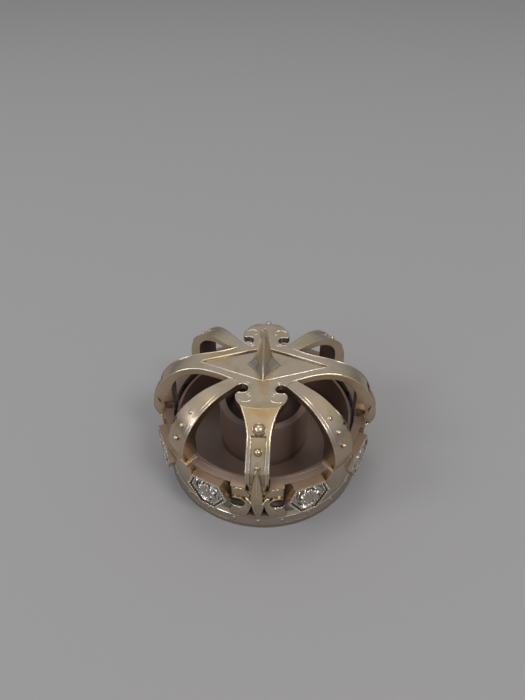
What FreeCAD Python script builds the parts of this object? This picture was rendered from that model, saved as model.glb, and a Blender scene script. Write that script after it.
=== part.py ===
import FreeCAD, Part
import math
import os
from FreeCAD import Placement, Rotation, Vector

# Crown-shaped bottle cap: an open crown moulding, the cup that is pushed into it from
# below, and the plastic liner that grips the pump collar.
# Origin at the middle of the foot, +Z up, front arch towards -Y. Millimetres.

doc = FreeCAD.newDocument("CrownCap")
sheet = doc.addObject("Spreadsheet::Sheet", "Sizes")

# Every driving size, once: alias, value, what it is
driving = [
    ("footRadius", 22.0, "outer radius of the foot"),
    ("footEdge", 1.0, "upright edge of the foot"),
    ("footTop", 2.9, "height where the band starts"),
    ("shellBore", 20.0, "radius inside the crown shell"),
    ("wallFoot", 1.2, "band wall at the foot"),
    ("wallTop", 1.7, "band wall at its top"),
    ("bandTop", 14.3, "height of the band"),
    ("reliefFoot", 0.45, "how far the fleurs stand out at the foot"),
    ("reliefTop", 0.9, "how far the fleurs stand out at the top"),
    ("domeRadius", 23.45, "widest radius of the arches"),
    ("domeWaist", 16.9, "height of the widest radius"),
    ("crownHeight", 26.4, "height of the flat crown"),
    ("shoulderReach", 11.0, "radial reach of the shoulder curve"),
    ("plateThickness", 1.4, "thickness of the crown plate"),
    ("innerCurveFoot", 19.5, "height where the arches turn inwards inside"),
    ("frontBreak", 13.2, "radius where the front and back arches leave the flat crown"),
    ("frontMidRadius", 18.2, "radius half way down the front arch"),
    ("frontMidHeight", 23.2, "height half way down the front arch"),
    ("frontLowRadius", 22.9, "radius where the front arch turns upright"),
    ("frontLowHeight", 18.9, "height where the front arch turns upright"),
    ("diagonalDrop", 0.1, "how far the diagonal arches lie below the crown"),
    ("diagonalAngle", 46.0, "angle from the front or back arch to a diagonal arch"),
    ("archHalf", 2.3, "half width of the front and back arches"),
    ("archWaist", 17.5, "radius where the front arch starts to widen"),
    ("neckHalf", 4.3, "half width of the crown plate at its neck"),
    ("neckReach", 11.9, "distance of the neck from the middle"),
    ("hookHalf", 5.15, "half width over the hooks"),
    ("hookReach", 9.5, "distance of the hooks' tips from the middle"),
    ("notchReach", 7.65, "distance of the round notches from the middle"),
    ("notchHalf", 3.85, "half distance between the round notches"),
    ("notchRadius", 1.15, "radius of the round notches"),
    ("cornerHalf", 5.3, "where a side arm starts, across"),
    ("cornerReach", 5.95, "where a side arm starts, forwards"),
    ("sideHalf", 2.2, "half width of the left and right arches"),
    ("sideWaist", 17.5, "radius where the side arms start to widen"),
    ("diagonalFootHalf", 3.0, "half width of a diagonal arch at its foot"),
    ("diagonalMidHalf", 1.95, "half width of a diagonal arch half way"),
    ("diagonalTipHalf", 1.0, "half width of a diagonal arch at the crown"),
    ("borderWidth", 0.8, "width of the raised border on a diagonal arch"),
    ("borderStart", 13.8, "radius where the borders of the diagonal arches start"),
    ("panelReach", 13.3, "inset panel, from the middle to its side tips"),
    ("panelHalf", 5.2, "inset panel, from the middle to its front tip"),
    ("panelDepth", 0.35, "depth of the inset panel"),
    ("channelHalf", 1.45, "half width of the channel on the front arch"),
    ("channelDepth", 0.35, "depth of the channels on the arches"),
    ("channelTurn", 25.0, "angle up the shoulder where the side arches' channels start"),
    ("channelGap", 1.0, "distance from the big bead down to the front channel"),
    ("bellyHalf", 1.15, "half width of the belly of a fleur's middle petal"),
    ("bellyTop", 20.4, "height of the tip of the middle petal"),
    ("bellyMid", 14.0, "height of the belly's widest part"),
    ("bellyProud", 1.35, "how far the belly stands out of the arch"),
    ("bellySink", 1.25, "how far the belly's skin dips in at its top"),
    ("spireTip", 35.45, "height of the spire"),
    ("spireFront", 5.8, "spire foot, towards the front and back"),
    ("spireSide", 3.4, "spire foot, towards the sides"),
    ("spireBlunt", 0.45, "half width of the spire's tip"),
    ("spireHollow", 0.36, "how hollow the spire's sides are, as a share of its foot"),
    ("blockAngle", 26.0, "angle from an arch to the jewel block"),
    ("blockFace", 23.4, "distance of the block face from the axis"),
    ("blockHalf", 4.7, "half width of a block at its middle"),
    ("blockTopHalf", 3.2, "half width of a block at its top"),
    ("blockFootHalf", 1.8, "half width of a block at its foot"),
    ("blockLow", 5.6, "height of a block's foot"),
    ("blockMid", 10.2, "height of a block's widest part"),
    ("blockHigh", 13.8, "height of a block's top"),
    ("blockRim", 0.6, "rim round the block's sunk field"),
    ("blockSink", 0.45, "depth of the block's sunk field"),
    ("bossRadius", 1.1, "round boss in the middle of a block"),
    ("rosetteOuter", 2.35, "radius of the rosette's petals round the boss"),
    ("rosetteInner", 1.7, "radius of the rosette between its petals"),
    ("rosetteProud", 0.3, "height of the rosette over the sunk field"),
    ("collarHalf", 2.35, "half width of the fleur's collar"),
    ("collarLow", 9.1, "lower edge of the collar"),
    ("collarHigh", 10.7, "upper edge of the collar"),
    ("collarProud", 0.3, "how far the collar stands out of the fleur"),
    ("eyeReach", 3.95, "from the fleur's middle to the eye of a petal"),
    ("eyeHeight", 8.9, "height of the eye of a petal"),
    ("eyeRadius", 1.45, "radius of the eye of a petal"),
    ("eyeRim", 0.5, "width of the raised rim round an eye"),
    ("slotNear", 5.1, "slot beside a petal, near edge"),
    ("slotFar", 6.5, "slot beside a petal, far edge"),
    ("slotTop", 13.8, "slot beside a petal, top"),
    ("tailHalf", 6.0, "half width of the fleur's spread tails"),
    ("tailGapReach", 1.3, "from the fleur's middle to the tip of a tail gap"),
    ("tailGapTop", 8.1, "height of the tip of a tail gap"),
    ("tailGapFoot", 3.6, "height of the foot of a tail gap"),
    ("tailGapWidth", 2.0, "width of a tail gap at its foot"),
    ("notchTop", 12.9, "height of the foot of the gap beside the middle petal"),
    ("rivetRadius", 0.5, "radius of a rivet on the foot"),
    ("rivetHeight", 1.75, "height of the rivets"),
    ("rivetStep", 13.5, "angle from the arch to the next rivet"),
    ("bigBead", 1.3, "radius of the big bead on an arch"),
    ("midBead", 0.8, "radius of the middle bead"),
    ("smallBead", 0.55, "radius of the small beads"),
    ("beadSeat", 0.15, "how far a bead is sunk below its surface"),
    ("bigBeadPlace", 16.6, "distance of the big bead from the axis"),
    ("midBeadPlace", 19.9, "distance of the middle bead from the axis"),
    ("lowBeadPlace", 22.0, "distance of the lowest bead from the axis"),
    ("diagonalBeadHigh", 56.0, "angle up the shoulder to a diagonal arch's top bead"),
    ("diagonalBeadLow", 20.0, "angle up the shoulder to its lowest bead"),
    ("fitGap", 0.1, "clearance of the cup in the shell"),
    ("lipRadius", 20.8, "radius of the cup's seating lip"),
    ("lipHigh", 1.4, "height of the top of the seating lip"),
    ("footClear", 0.4, "height of the cup's underside"),
    ("skirtTop", 13.0, "height of the cup's skirt"),
    ("skirtWall", 1.0, "wall of the skirt"),
    ("floorLow", 3.8, "underside of the cup's floor"),
    ("floorThick", 1.2, "thickness of the cup's floor"),
    ("tubeOuter", 9.9, "outer radius of the tube"),
    ("tubeInner", 8.5, "inner radius of the tube"),
    ("tubeTop", 16.8, "height of the tube"),
    ("hubWall", 0.8, "how much thicker the tube is under the floor"),
    ("ribWall", 1.0, "thickness of the ribs under the floor"),
    ("ribCount", 8, "number of ribs under the floor"),
    ("linerGap", 0.05, "clearance of the liner in the tube"),
    ("linerWall", 0.95, "wall of the liner"),
    ("linerTop", 12.6, "height of the liner's closed top"),
    ("linerRoof", 1.2, "thickness of the liner's closed top"),
    ("linerLip", 9.3, "radius of the liner's lip"),
    ("linerLipThick", 0.8, "thickness of the liner's lip"),
]
for row, (alias, value, note) in enumerate(driving, start=1):
    sheet.set(f"A{row}", alias)
    sheet.set(f"B{row}", str(value))
    sheet.set(f"C{row}", note)
    sheet.setAlias(f"B{row}", alias)
doc.recompute()


def size(alias):
    return float(sheet.get(alias))


cardinals = [0, 90, 180, 270]
lean = size("diagonalAngle")
diagonals = [lean, 180 - lean, 180 + lean, 360 - lean]
bore, domeRadius = size("shellBore"), size("domeRadius")
footTop, bandTop, crownHeight = size("footTop"), size("bandTop"), size("crownHeight")
cutStart = bore - 2.5        # cutters start inside the bore
cutDepth = domeRadius - cutStart + 3.0   # and reach past the arches
sunk = 0.3                   # how deep one form is let into the next before they are fused
upright = Rotation()


def isArc(step):
    return isinstance(step[0], tuple)


def draw(sketch, start, steps):
    # A step is the next corner, or a pair: a point on the arc and its end
    here = Vector(*start, 0)
    for step in steps:
        if isArc(step):
            through, there = Vector(*step[0], 0), Vector(*step[1], 0)
            sketch.addGeometry(Part.Arc(here, through, there))
        else:
            there = Vector(*step, 0)
            sketch.addGeometry(Part.LineSegment(here, there))
        here = there


def flipped(start, steps, across=-1, along=1):
    # The same outline, mirrored
    def turn(point):
        return (point[0] * across, point[1] * along)
    return turn(start), [tuple(turn(p) for p in s) if isArc(s) else turn(s) for s in steps]


def reversedPath(start, steps):
    # The same outline, run backwards
    corners = [start] + [s[1] if isArc(s) else s for s in steps]
    back = []
    for i in range(len(steps) - 1, -1, -1):
        back.append((steps[i][0], corners[i]) if isArc(steps[i]) else corners[i])
    return corners[-1], back


def originPlane(body, role):
    return [f for f in body.Origin.OriginFeatures if f.Role == role][0]


def turned(name, start, steps, curves=()):
    # A body turned about Z from an outline in radius and height
    body = doc.addObject("PartDesign::Body", name)
    sketch = body.newObject("Sketcher::SketchObject", name + "Section")
    sketch.AttachmentSupport = (originPlane(body, "XZ_Plane"), [""])
    sketch.MapMode = "FlatFace"
    draw(sketch, start, steps)
    for curve in curves:
        sketch.addGeometry(curve)
    turn = body.newObject("PartDesign::Revolution", name + "Turn")
    turn.Profile = sketch
    turn.ReferenceAxis = (sketch, ["V_Axis"])
    turn.Angle = 360
    body.Tip = turn
    return body


def facing(angle, distance, height=0.0):
    # Local X runs round the crown, local Y up and local Z outwards
    spin = Rotation(Vector(0, 0, 1), angle).multiply(Rotation(Vector(1, 0, 0), 90))
    outward = Vector(math.sin(math.radians(angle)), -math.cos(math.radians(angle)), 0)
    return Placement(outward * distance + Vector(0, 0, height), spin)


def inPlan(angle):
    # Seen from above, just under the band's top, with local -Y at the angle
    return Placement(Vector(0, 0, bandTop - 1.5), Rotation(Vector(0, 0, 1), angle))


def extruded(name, placement, start, steps, length):
    sketch = doc.addObject("Sketcher::SketchObject", name + "Outline")
    sketch.Placement = placement
    draw(sketch, start, steps)
    solid = doc.addObject("Part::Extrusion", name)
    solid.Base = sketch
    solid.DirMode = "Normal"
    solid.Solid = True
    solid.setExpression("LengthFwd", str(length))
    return solid


def cut(name, base, tool):
    made = doc.addObject("Part::Cut", name)
    made.Base, made.Tool = base, tool
    return made


def joined(kind, name, members):
    made = doc.addObject("Part::" + kind, name)
    made.Shapes = list(members)
    return made


def radialPlan(name, angles, start, steps):
    # One outline looked at from outside, repeated round the crown, through the wall
    return joined("MultiFuse", name, [
        extruded(f"{name}{round(angle)}", facing(angle, cutStart), start, steps, cutDepth)
        for angle in angles])


def shoulder(drop=0.0, outset=0.0):
    # Middle, reach and rise of the quarter ellipse outside the arches
    middle = Vector(domeRadius - size("shoulderReach"), size("domeWaist"), 0)
    return middle, size("shoulderReach") + outset, crownHeight - drop + outset - middle.y


def onShoulder(turn, drop=0.0):
    # Radius and height of the point at an angle up the shoulder
    middle, across, rise = shoulder(drop)
    lean = math.radians(turn)
    return middle.x + across * math.cos(lean), middle.y + rise * math.sin(lean)


def ellipseArc(middle, across, rise, end=math.pi / 2):
    # Arc from the level through the middle up to the angle end, whichever way it is longer
    if across >= rise:
        return Part.ArcOfEllipse(Part.Ellipse(middle, across, rise), 0, end)
    tall = Part.Ellipse(middle + Vector(0, rise, 0), middle - Vector(across, 0, 0), middle)
    return Part.ArcOfEllipse(tall, -math.pi / 2, end - math.pi / 2)


def archSkin(name, drop):
    # Skin that the arches are cut from: elliptical shoulders, upright inside wall below
    middle, across, rise = shoulder(drop)
    innerTop = middle.y + rise - size("plateThickness")
    innerMiddle = Vector(middle.x, size("innerCurveFoot"), 0)
    low = bandTop - 1.0
    footRim = bore + size("wallTop") + size("reliefTop")
    body = turned(name, (0, innerTop), [(0, middle.y + rise), (middle.x, middle.y + rise)],
                  [ellipseArc(middle, across, rise),
                   ellipseArc(innerMiddle, bore - middle.x, innerTop - innerMiddle.y)])
    draw(body.Group[0], (domeRadius, middle.y), [(footRim, low), (bore, low),
                                                 (bore, innerMiddle.y)])
    draw(body.Group[0], (middle.x, innerTop), [(0, innerTop)])
    return body


def frontCurve(outset=0.0):
    # End, middle and foot of the front arch's outer curve, moved outwards by the outset
    slope = math.atan2(crownHeight - size("frontLowHeight"),
                       size("frontLowRadius") - size("frontBreak"))
    across, along = outset * math.sin(slope), outset * math.cos(slope)
    return ((size("frontBreak") + across, crownHeight + along),
            (size("frontMidRadius") + across, size("frontMidHeight") + along),
            (size("frontLowRadius") + across, size("frontLowHeight") + along))


def frontSkin():
    # Skin of the front and back arches, which slope down sooner than the side arches
    end, via, foot = frontCurve()
    innerEnd, innerVia, innerFoot = frontCurve(-size("plateThickness"))
    low, footRim = bandTop - 1.0, bore + size("wallTop") + size("reliefTop")
    plateLow = crownHeight - size("plateThickness")
    slip = (innerEnd[1] - plateLow) * (end[0] - via[0]) / (via[1] - end[1])
    return turned("FrontSkin", (0, plateLow), [
        (0, crownHeight), end, (via, foot), (domeRadius, size("domeWaist")), (footRim, low),
        (bore, low), (bore, innerFoot[1]), (innerVia, (innerEnd[0] - slip, plateLow)),
        (0, plateLow)])


# Crown plate and the four main arches: the skins cut by an outline seen from above.
# The outline of one corner, from the front arch round the hook and notch to a side arch
far = domeRadius + 2
archHalf, sideHalf = size("archHalf"), size("sideHalf")
neck = (size("neckHalf"), -size("neckReach"))
waist = (archHalf, -size("archWaist"))
hookTip = (size("hookHalf"), -size("hookReach"))
notchX, notchY, notchR = size("notchHalf"), -size("notchReach"), size("notchRadius")
notchIn = (notchX + 0.8 * notchR, notchY - 0.95 * notchR)
notchOut = (notchX + 0.8 * notchR, notchY + 0.87 * notchR)
armStart = (size("cornerHalf"), -size("cornerReach"))
armWaist = (size("sideWaist"), -sideHalf)
cornerStart = (archHalf, -far)
cornerSteps = [waist, ((0.72 * archHalf + 0.28 * neck[0], 0.55 * waist[1] + 0.45 * neck[1]), neck),
               ((hookTip[0] - 0.12, 0.55 * hookTip[1] + 0.45 * neck[1]), hookTip), notchIn,
               ((notchX - notchR, notchY), notchOut), armStart,
               ((0.6 * armStart[0] + 0.4 * armWaist[0], 0.33 * armStart[1] + 0.67 * armWaist[1]),
                armWaist), (far, -sideHalf)]
outline = [cornerStart] + cornerSteps
for across, along in ((1, -1), (-1, -1), (-1, 1)):
    start, steps = flipped(cornerStart, cornerSteps, across, along)
    if across * along < 0:
        start, steps = reversedPath(start, steps)
    outline += [start] + steps
outline.append(cornerStart)
crownPlan = extruded("CrownPlan", inPlan(0), outline[0], outline[1:], crownHeight)


def quarters(name, turn):
    # Two opposite quarters of the plan, about the front and back or about the sides
    return joined("MultiFuse", name, [
        extruded(f"{name}{angle}", inPlan(angle), (0, 0), [(-far, -far), (far, -far), (0, 0)],
                 crownHeight) for angle in (turn, turn + 180)])


sideArches = joined("MultiCommon", "SideArches", [
    archSkin("SideSkin", 0.0), crownPlan, quarters("SideQuarters", 90)])
frontArches = joined("MultiCommon", "FrontArches", [
    frontSkin(), crownPlan, quarters("FrontQuarters", 0)])

# Diagonal arches: strips that widen from the plate's corners down to the band
footHalf, midHalf = size("diagonalFootHalf"), size("diagonalMidHalf")
tipHalf, border = size("diagonalTipHalf"), size("borderWidth")
tipReach, midReach = 4.0, 0.58 * far


def strip(name, angle, begin, near=0.0, beyond=0.0):
    # A strip in plan, drawn in by near from the edge towards the front or back arch, and
    # past its other edge by beyond
    tip = tipHalf + (midHalf - tipHalf) * (begin - tipReach) / (midReach - tipReach)
    way = -1 if angle % 180 < 90 else 1
    (t0, m0, f0), (t1, m1, f1) = [[way * (half - near) for half in (tip, midHalf, footHalf)],
                                  [-way * (half + beyond) for half in (tip, midHalf, footHalf)]]
    via = -midReach if begin < midReach - 2 else -(begin + far) / 2
    return extruded(f"{name}{round(angle)}", inPlan(angle), (t0, -begin), [
        ((m0, via), (f0, -far)), (f1, -far), ((m1, via), (t1, -begin)), (t0, -begin)],
        crownHeight)


diagonalArches = joined("MultiCommon", "DiagonalArches", [
    archSkin("LowSkin", size("diagonalDrop")),
    joined("MultiFuse", "DiagonalPlan", [strip("Strip", a, tipReach) for a in diagonals])])

# Channels down the arches beside raised borders: what lies above a skin set in by the
# depth, which on the diagonal arches fades out towards the crown
depth, high = size("channelDepth"), crownHeight + 3
outside, channelLow = domeRadius + 3, bandTop + 1.6
middle, across, rise = shoulder(size("diagonalDrop"))
across -= depth
diagonalSkin = turned("DiagonalChannelSkin", (0, middle.y + rise), [
    (0, high), (outside, high), (outside, channelLow), (middle.x + across, channelLow),
    (middle.x + across, middle.y)], [ellipseArc(middle, across, rise)])
draw(diagonalSkin.Group[0], (middle.x, middle.y + rise), [(0, middle.y + rise)])
diagonalLanes = joined("MultiFuse", "DiagonalLanes", [
    strip("Lane", a, size("borderStart"), border, 0.4) for a in diagonals])
middle, across, rise = shoulder(0.0, -depth)
lean = math.radians(size("channelTurn"))
begin, beginHigh = middle.x + across * math.cos(lean), middle.y + rise * math.sin(lean)
sideSkin = turned("SideChannelSkin", (begin, beginHigh), [
    (begin, high), (outside, high), (outside, channelLow), (middle.x + across, channelLow),
    (middle.x + across, middle.y)], [ellipseArc(middle, across, rise, lean)])
frontEnd, frontVia, frontFoot = frontCurve(-depth)
begin = size("bigBeadPlace") + size("channelGap")
frontChannelSkin = turned("FrontChannelSkin", (frontEnd[0], frontEnd[1]), [
    (frontVia, frontFoot), (domeRadius - depth, middle.y), (domeRadius - depth, channelLow),
    (outside, channelLow), (outside, high), (frontEnd[0], high), frontEnd])
channelHalf = size("channelHalf")


def lane(name, angles, half):
    return radialPlan(name, angles, (-half, channelLow - 2), [
        (half, channelLow - 2), (half, high), (-half, high), (-half, channelLow - 2)])


frontLaneStart = turned("FrontLaneStart", (begin, channelLow - 2), [
    (outside, channelLow - 2), (outside, high), (begin, high), (begin, channelLow - 2)])
channels = [
    joined("MultiCommon", "DiagonalChannels", [diagonalSkin, diagonalLanes]),
    joined("MultiCommon", "SideChannels", [sideSkin, lane("SideLane", (90, 270), channelHalf)]),
    joined("MultiCommon", "FrontChannels", [
        frontChannelSkin, lane("FrontLane", (0, 180), channelHalf), frontLaneStart]),
]

# Sunk panel in the crown plate: a star with hollow sides
reach, panelHalf = size("panelReach"), size("panelHalf")
hollow = (0.39 * reach, 0.62 * panelHalf)
panelSteps = [(hollow, (0, panelHalf)), ((-hollow[0], hollow[1]), (-reach, 0)),
              ((-hollow[0], -hollow[1]), (0, -panelHalf)), ((hollow[0], -hollow[1]), (reach, 0))]
panel = extruded("Panel", Placement(Vector(0, 0, crownHeight - size("panelDepth")), upright),
                 (reach, 0), panelSteps, 3.0)
arches = joined("MultiFuse", "Arches", [sideArches, frontArches, diagonalArches])
for i, tool in enumerate(channels + [panel]):
    arches = cut(f"ArchCut{i}", arches, tool)

# Band and foot
lipSeat = size("lipRadius") + size("fitGap")
wallFoot, wallTop = size("wallFoot"), size("wallTop")
band = turned("Band", (lipSeat, 0), [
    (size("footRadius"), 0), (size("footRadius"), size("footEdge")),
    (bore + wallFoot, footTop), (bore + wallTop, bandTop - 0.2), (bore, bandTop),
    (bore, size("lipHigh")), (lipSeat, size("lipHigh")), (lipSeat, 0)])


def reliefSkin(name, foot, top, high):
    # A skin let into the band, standing out of it by foot below and top above
    inside, low = bore + sunk, footTop - 0.8
    return turned(name, (inside, low), [
        (bore + wallFoot + foot, footTop), (bore + wallTop + top, high - sunk), (inside, high),
        (inside, low)])


# Fleurs: middle petal, curled side petals and spread tails, with a collar round them
reliefFoot, reliefTop, proud = size("reliefFoot"), size("reliefTop"), size("collarProud")
tailHalf, slotNear = size("tailHalf"), size("slotNear")
fleurStart = (0, footTop - 0.5)
fleurHalf = [(tailHalf - 1.1, footTop - 0.5), ((tailHalf - 0.1, footTop + 0.7),
                                               (tailHalf, footTop + 1.7)),
             ((tailHalf - 0.7, footTop + 3.3), (slotNear + 0.1, footTop + 5.1)),
             (slotNear + 0.2, bandTop + 0.5)]
leftStart, leftHalf = flipped(fleurStart, fleurHalf)
leftStart, leftHalf = reversedPath(leftStart, leftHalf)
fleurPlan = radialPlan("FleurPlan", cardinals, fleurStart, fleurHalf + [leftStart] + leftHalf)
fleurs = joined("MultiCommon", "Fleurs",
                [reliefSkin("FleurSkin", reliefFoot, reliefTop, bandTop), fleurPlan])
collarHalf, collarLow, collarHigh = size("collarHalf"), size("collarLow"), size("collarHigh")
collarPlan = radialPlan("CollarPlan", cardinals, (-collarHalf, collarLow), [
    (collarHalf, collarLow), (collarHalf, collarHigh), (-collarHalf, collarHigh),
    (-collarHalf, collarLow)])
collarSkin = reliefSkin("CollarSkin", reliefFoot + proud, reliefTop + proud, bandTop)
collars = joined("MultiCommon", "Collars", [collarSkin, collarPlan])

# Raised rims round the eyes of the side petals
eyeX, eyeZ, eyeR = size("eyeReach"), size("eyeHeight"), size("eyeRadius")
rimOut = eyeR + size("eyeRim")
rims = [joined("MultiCommon", "EyeRims" + word, [
    collarSkin, radialPlan("EyeRim" + word, cardinals, (side * eyeX - rimOut, eyeZ), [
        ((side * eyeX, eyeZ + rimOut), (side * eyeX + rimOut, eyeZ)),
        ((side * eyeX, eyeZ - rimOut), (side * eyeX - rimOut, eyeZ))])])
    for side, word in ((-1, "Left"), (1, "Right"))]

# Belly of the middle petal, which swells out of the foot of each main arch
bellyHalf, bellyTop, bellyMid = size("bellyHalf"), size("bellyTop"), size("bellyMid")
bellyOut, bellySink = domeRadius + size("bellyProud"), size("bellySink")
bellyEnd = domeRadius - bellySink
bellySkin = turned("BellySkin", (bore + sunk, bellyTop + 1.0), [
    (bore + sunk, collarLow), (bore + wallTop + reliefTop - 0.4, collarLow),
    ((bellyOut - 0.45, 0.5 * (collarLow + bellyMid)), (bellyOut, bellyMid)),
    ((0.65 * bellyOut + 0.35 * bellyEnd, 0.45 * bellyMid + 0.55 * (bellyTop + 1.0)),
     (bellyEnd, bellyTop + 1.0)), (bore + sunk, bellyTop + 1.0)])
bellyPlan = radialPlan("BellyPlan", cardinals, (0, bellyTop), [
    ((-0.75 * bellyHalf, 0.4 * bellyTop + 0.6 * bellyMid), (-bellyHalf, bellyMid - 1.0)),
    ((-0.85 * bellyHalf, collarHigh + 0.6), (-0.6 * bellyHalf, collarLow + 0.3)),
    (0.6 * bellyHalf, collarLow + 0.3),
    ((0.85 * bellyHalf, collarHigh + 0.6), (bellyHalf, bellyMid - 1.0)),
    ((0.75 * bellyHalf, 0.4 * bellyTop + 0.6 * bellyMid), (0, bellyTop))])
bellies = joined("MultiCommon", "Bellies", [bellySkin, bellyPlan])

# Feet of the diagonal arches: plain plates that run down to the foot
plateHalf = footHalf + 1.2
plateSkin = reliefSkin("PlateSkin", 0.35, domeRadius - 0.25 - bore - wallTop, bandTop + 0.6)
plateSide = [(plateHalf, footTop - 0.5), (plateHalf, bandTop - 2.1),
             ((footHalf + 0.3, bandTop - 0.7), (footHalf, bandTop + 3))]
plateLeft = flipped((0, footTop - 0.5), plateSide)
plateLeft = reversedPath(*plateLeft)
platePlan = radialPlan("PlatePlan", diagonals, (0, footTop - 0.5),
                       plateSide + [plateLeft[0]] + plateLeft[1])
archFeet = joined("MultiCommon", "ArchFeet", [plateSkin, platePlan])

# Holes through the band: petal eyes with their slots, gaps between the tails, and gaps
# beside the middle petal
slotFar, slotTop = size("slotFar"), size("slotTop")
gapX, gapTop, gapFoot = size("tailGapReach"), size("tailGapTop"), size("tailGapFoot")
gapWidth, vFoot = size("tailGapWidth"), size("notchTop")
holeShapes = {
    "Hook": ((slotNear, slotTop), [
        (slotFar, slotTop), (slotFar, eyeZ + 0.5 * eyeR),
        ((eyeX + 1.2 * eyeR, eyeZ - 0.7 * eyeR), (eyeX, eyeZ - eyeR)),
        ((eyeX - eyeR, eyeZ), (eyeX, eyeZ + eyeR)), (slotNear, eyeZ + 0.9 * eyeR),
        (slotNear, slotTop)]),
    "Tail": ((gapX, gapTop), [
        ((gapX - 0.16 * gapWidth, 0.5 * (gapTop + gapFoot)), (gapX - 0.42 * gapWidth, gapFoot)),
        (gapX + 0.58 * gapWidth, gapFoot),
        ((gapX + 0.2 * gapWidth, 0.5 * (gapTop + gapFoot)), (gapX, gapTop))]),
    "Gap": ((0.5 * archHalf, vFoot), [
        (0.75 * archHalf, vFoot), (archHalf + 0.3, bandTop + 0.3), (archHalf + 0.3, bandTop + 4),
        (archHalf, bandTop + 4), (0.5 * archHalf, vFoot)]),
}
cutters = []
for name, (start, steps) in holeShapes.items():
    cutters.append(radialPlan(name + "Right", cardinals, start, steps))
    cutters.append(radialPlan(name + "Left", cardinals, *flipped(start, steps)))
holes = joined("MultiFuse", "BandHoles", cutters)
solidBand = joined("MultiFuse", "SolidBand", [band, fleurs, archFeet, arches] + rims)
pierced = cut("PiercedBand", solidBand, holes)

# Jewel blocks beside every fleur, each with a sunk field and a round boss with petals
blockFace, blockStart, blockSink = size("blockFace"), bore + sunk, size("blockSink")
low, mid, high, rim = size("blockLow"), size("blockMid"), size("blockHigh"), size("blockRim")
wide, wideTop, wideFoot = size("blockHalf"), size("blockTopHalf"), size("blockFootHalf")


def hexagon(name, angle, distance, inset, length):
    # Six-sided outline, wide at its top, drawn in from the block's edge by the inset
    wideIn, topIn, footIn = wide - inset, wideTop - 0.5 * inset, wideFoot - 0.35 * inset
    return extruded(name, facing(angle, distance), (-footIn, low + inset), [
        (footIn, low + inset), (wideIn, mid), (topIn, high - inset), (-topIn, high - inset),
        (-wideIn, mid), (-footIn, low + inset)], length)


def ball(name, alias, placement):
    made = doc.addObject("Part::Sphere", name)
    made.setExpression("Radius", "Sizes." + alias)
    made.Placement = placement
    return made


def ringPoint(radius, petal):
    lean = 2 * math.pi * petal / petals
    return radius * math.cos(lean), radius * math.sin(lean)


petals, rosetteIn, rosetteOut = 6, size("rosetteInner"), size("rosetteOuter")
blocks, fields, studs = [], [], []
fieldFace = blockFace - blockSink
for cardinal in cardinals:
    for side, word in ((-1, "Left"), (1, "Right")):
        angle, tag = cardinal + side * size("blockAngle"), f"{cardinal}{word}"
        blocks.append(hexagon("Block" + tag, angle, blockStart, 0, blockFace - blockStart))
        fields.append(hexagon("Field" + tag, angle, fieldFace, rim, blockSink + 1))
        centre = facing(angle, fieldFace - sunk, mid)
        studs.append(ball("Boss" + tag, "bossRadius", centre))
        studs.append(extruded("Rosette" + tag, centre, ringPoint(rosetteIn, 0),
                              [(ringPoint(rosetteOut, k + 0.5), ringPoint(rosetteIn, k + 1))
                               for k in range(petals)], size("rosetteProud") + sunk))
sunkBlocks = cut("SunkBlocks", joined("MultiFuse", "Blocks", blocks),
                 joined("MultiFuse", "Fields", fields))

# Spire: four hollow sides that sweep up to a blunt tip
spire = doc.addObject("PartDesign::Body", "Spire")
spireFoot = crownHeight - 0.8
blunt, hollowShare = size("spireBlunt"), size("spireHollow")
sections = []
for i, (part, share) in enumerate(((0.0, 1.0), (0.12, 0.66), (0.3, 0.38), (0.6, 0.2), (1.0, 0.0))):
    front = blunt + (size("spireFront") - blunt) * share
    side = blunt + (size("spireSide") - blunt) * share
    section = spire.newObject("Sketcher::SketchObject", f"SpireSection{i}")
    section.AttachmentSupport = (originPlane(spire, "XY_Plane"), [""])
    section.MapMode = "FlatFace"
    height = spireFoot + (size("spireTip") - spireFoot) * part
    section.AttachmentOffset = Placement(Vector(0, 0, height), upright)
    x, y = side * hollowShare, front * hollowShare
    draw(section, (side, 0), [((x, y), (0, front)), ((-x, y), (-side, 0)),
                              ((-x, -y), (0, -front)), ((x, -y), (side, 0))])
    sections.append(section)
loft = spire.newObject("PartDesign::AdditiveLoft", "SpireLoft")
loft.Profile = sections[0]
loft.Sections = sections[1:]
loft.Ruled = True
spire.Tip = loft

# Beads on the arches and rivets on the foot
seat = size("beadSeat")
end, via, foot = [Vector(*point, 0) for point in frontCurve()]
frontArc = Part.Arc(end, via, foot).toShape()
for angle in (0, 180):
    # the big bead is only on the front arch
    for place, alias in (("bigBeadPlace", "bigBead"), ("midBeadPlace", "midBead"),
                         ("lowBeadPlace", "smallBead"))[angle // 180:]:
        radius = size(place)
        plumb = Part.makeLine(Vector(radius, 0, 0), Vector(radius, crownHeight + 1, 0))
        height = frontArc.distToShape(plumb)[1][0][0].y - seat
        studs.append(ball(f"{alias}{angle}", alias, facing(angle, radius, height)))
beadHigh, beadLow = size("diagonalBeadHigh"), size("diagonalBeadLow")
for angle in diagonals:
    for i, turn in enumerate((beadHigh, (beadHigh + beadLow) / 2, beadLow)):
        radius, height = onShoulder(turn, size("diagonalDrop") + seat + depth)
        studs.append(ball(f"Bead{round(angle)}No{i}", "smallBead", facing(angle, radius, height)))
rivetRing, step = size("footRadius") - 0.55, size("rivetStep")
for cardinal in cardinals:
    for i, turn in enumerate((0, step, (step + 45) / 2, 45, 90 - (step + 45) / 2, 90 - step)):
        studs.append(ball(f"Rivet{cardinal}No{i}", "rivetRadius",
                          facing(cardinal + turn, rivetRing, size("rivetHeight"))))

crown = joined("MultiFuse", "CrownShell", [pierced, collars, bellies, sunkBlocks, spire] + studs)
crown.Label = "crown_shell"

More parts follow.
